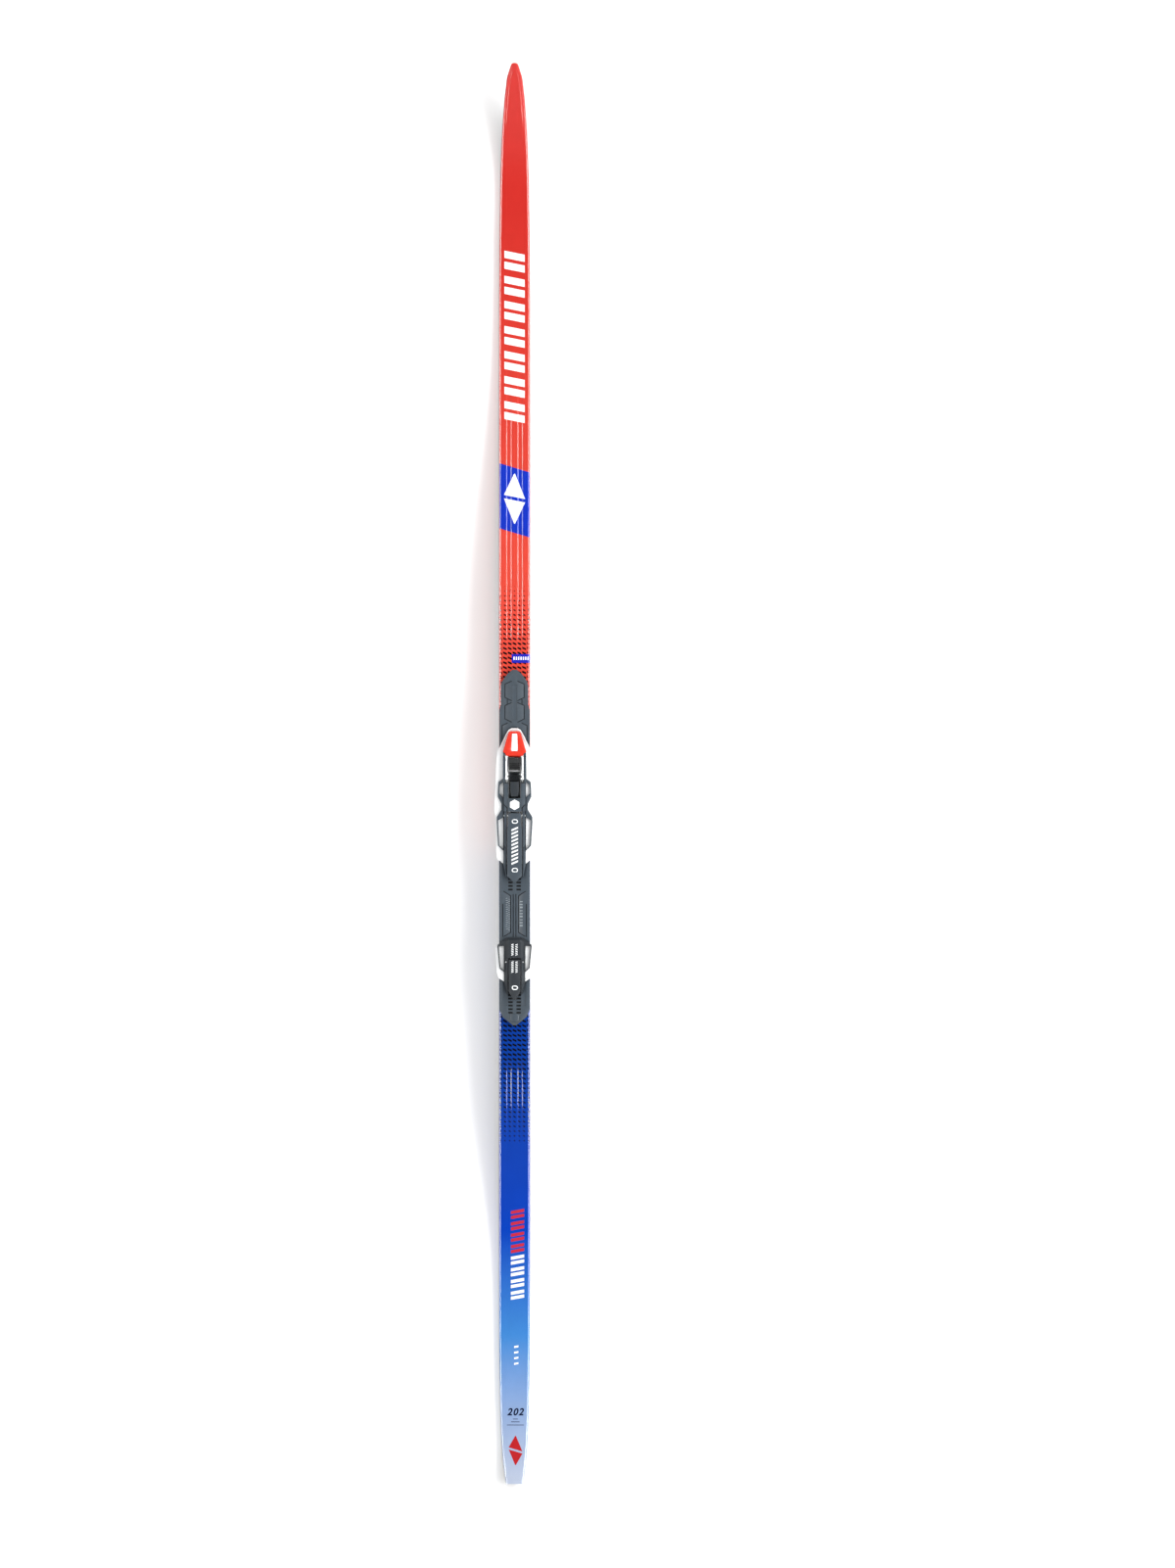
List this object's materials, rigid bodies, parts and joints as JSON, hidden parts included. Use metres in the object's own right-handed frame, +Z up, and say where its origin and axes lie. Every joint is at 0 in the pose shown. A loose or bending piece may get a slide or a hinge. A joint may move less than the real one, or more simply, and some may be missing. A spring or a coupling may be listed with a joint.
{
  "type": "cross country ski",
  "caption": "Classic cross country ski with a skin base, an upturned tip and a step-in toe bar binding whose toe and heel units slide on a rail plate.",
  "frame": {"origin": "on the floor under the middle of the ski's length and width", "axes": "+Y towards the tip along the ski, +Z up, +X to the right when facing the tip"},
  "size_m": [0.057, 2.02, 0.069],
  "materials": {
    "top_sheet_lacquer": "clear lacquer over a printed film",
    "glass_laminate": "cured glass cloth",
    "core_wood": "sawn paulownia strips",
    "sintered_base": "stone ground sintered polyethylene",
    "skin_adhesive_backing": "film with adhesive",
    "mohair_pile": "short brushed pile",
    "charcoal_plastic": "fine moulded grain",
    "lock_plastic": "fine moulded grain",
    "white_plastic": "smooth moulded",
    "lever_plastic": "smooth moulded",
    "flexor_rubber": "moulded",
    "jaw_steel": "stamped, black phosphate",
    "rod_steel": "drawn and polished"
  },
  "bodies": {
    "ski": {"ski_core": "core_wood", "upper_laminate": "glass_laminate", "top_cap": "top_sheet_lacquer", "lower_laminate": "glass_laminate", "running_base": "sintered_base", "skin_backing": "skin_adhesive_backing", "skin_pile": "mohair_pile", "binding_plate": "charcoal_plastic", "plate_end_plug": "charcoal_plastic"},
    "toe_carriage": {"toe_flange": "white_plastic", "toe_housing": "charcoal_plastic", "fixed_jaw": "jaw_steel", "jaw_cover": "charcoal_plastic", "toe_badge": "white_plastic", "flexor": "flexor_rubber", "lever_axle": "rod_steel", "toe_lock_pin": "rod_steel"},
    "lever": {"lever": "lever_plastic", "lever_inlay": "white_plastic", "crank_pin": "rod_steel"},
    "bail": {"rod_right": "rod_steel", "rod_left": "rod_steel", "jaw_pin": "rod_steel"},
    "jaw": {"moving_jaw": "jaw_steel"},
    "toe_lock": {"toe_lock_lever": "lock_plastic", "toe_lock_teeth": "jaw_steel"},
    "heel_carriage": {"heel_flange": "white_plastic", "heel_housing": "charcoal_plastic", "heel_lock_pin": "rod_steel"},
    "heel_lock": {"heel_lock_lever": "lock_plastic", "heel_lock_teeth": "jaw_steel"}
  },
  "joints": [
    {"name": "toe_slide", "type": "slide", "parent": "ski", "child": "toe_carriage", "axis": [0, 1, 0], "range_m": [-0.015, 0.015]},
    {"name": "heel_slide", "type": "slide", "parent": "ski", "child": "heel_carriage", "axis": [0, 1, 0], "range_m": [-0.015, 0.015]},
    {"name": "lever_hinge", "type": "hinge", "parent": "toe_carriage", "child": "lever", "pos_m": [0, 0.028, 0.061], "axis": [1, 0, 0], "range_deg": [0, 60]},
    {"name": "toe_lock_hinge", "type": "hinge", "parent": "toe_carriage", "child": "toe_lock", "pos_m": [0, -0.06, 0.056], "axis": [1, 0, 0], "range_deg": [-12, 1.3]},
    {"name": "heel_lock_hinge", "type": "hinge", "parent": "heel_carriage", "child": "heel_lock", "pos_m": [0, -0.268, 0.056], "axis": [1, 0, 0], "range_deg": [-12, 2.6]},
    {"name": "bail_hinge", "type": "hinge", "parent": "lever", "child": "bail", "pos_m": [0, 0.0255, 0.05667], "axis": [1, 0, 0], "range_deg": [-60, 0]},
    {"name": "jaw_slide", "type": "slide", "parent": "toe_carriage", "child": "jaw", "axis": [0, 1, 0], "range_m": [0, 0.005]}
  ],
  "couplings": [
    {"joint": "bail_hinge", "follows": "lever_hinge", "ratio": -1},
    {"joint": "jaw_slide", "follows": "lever_hinge", "m_per_rad": 0.004774}
  ]
}
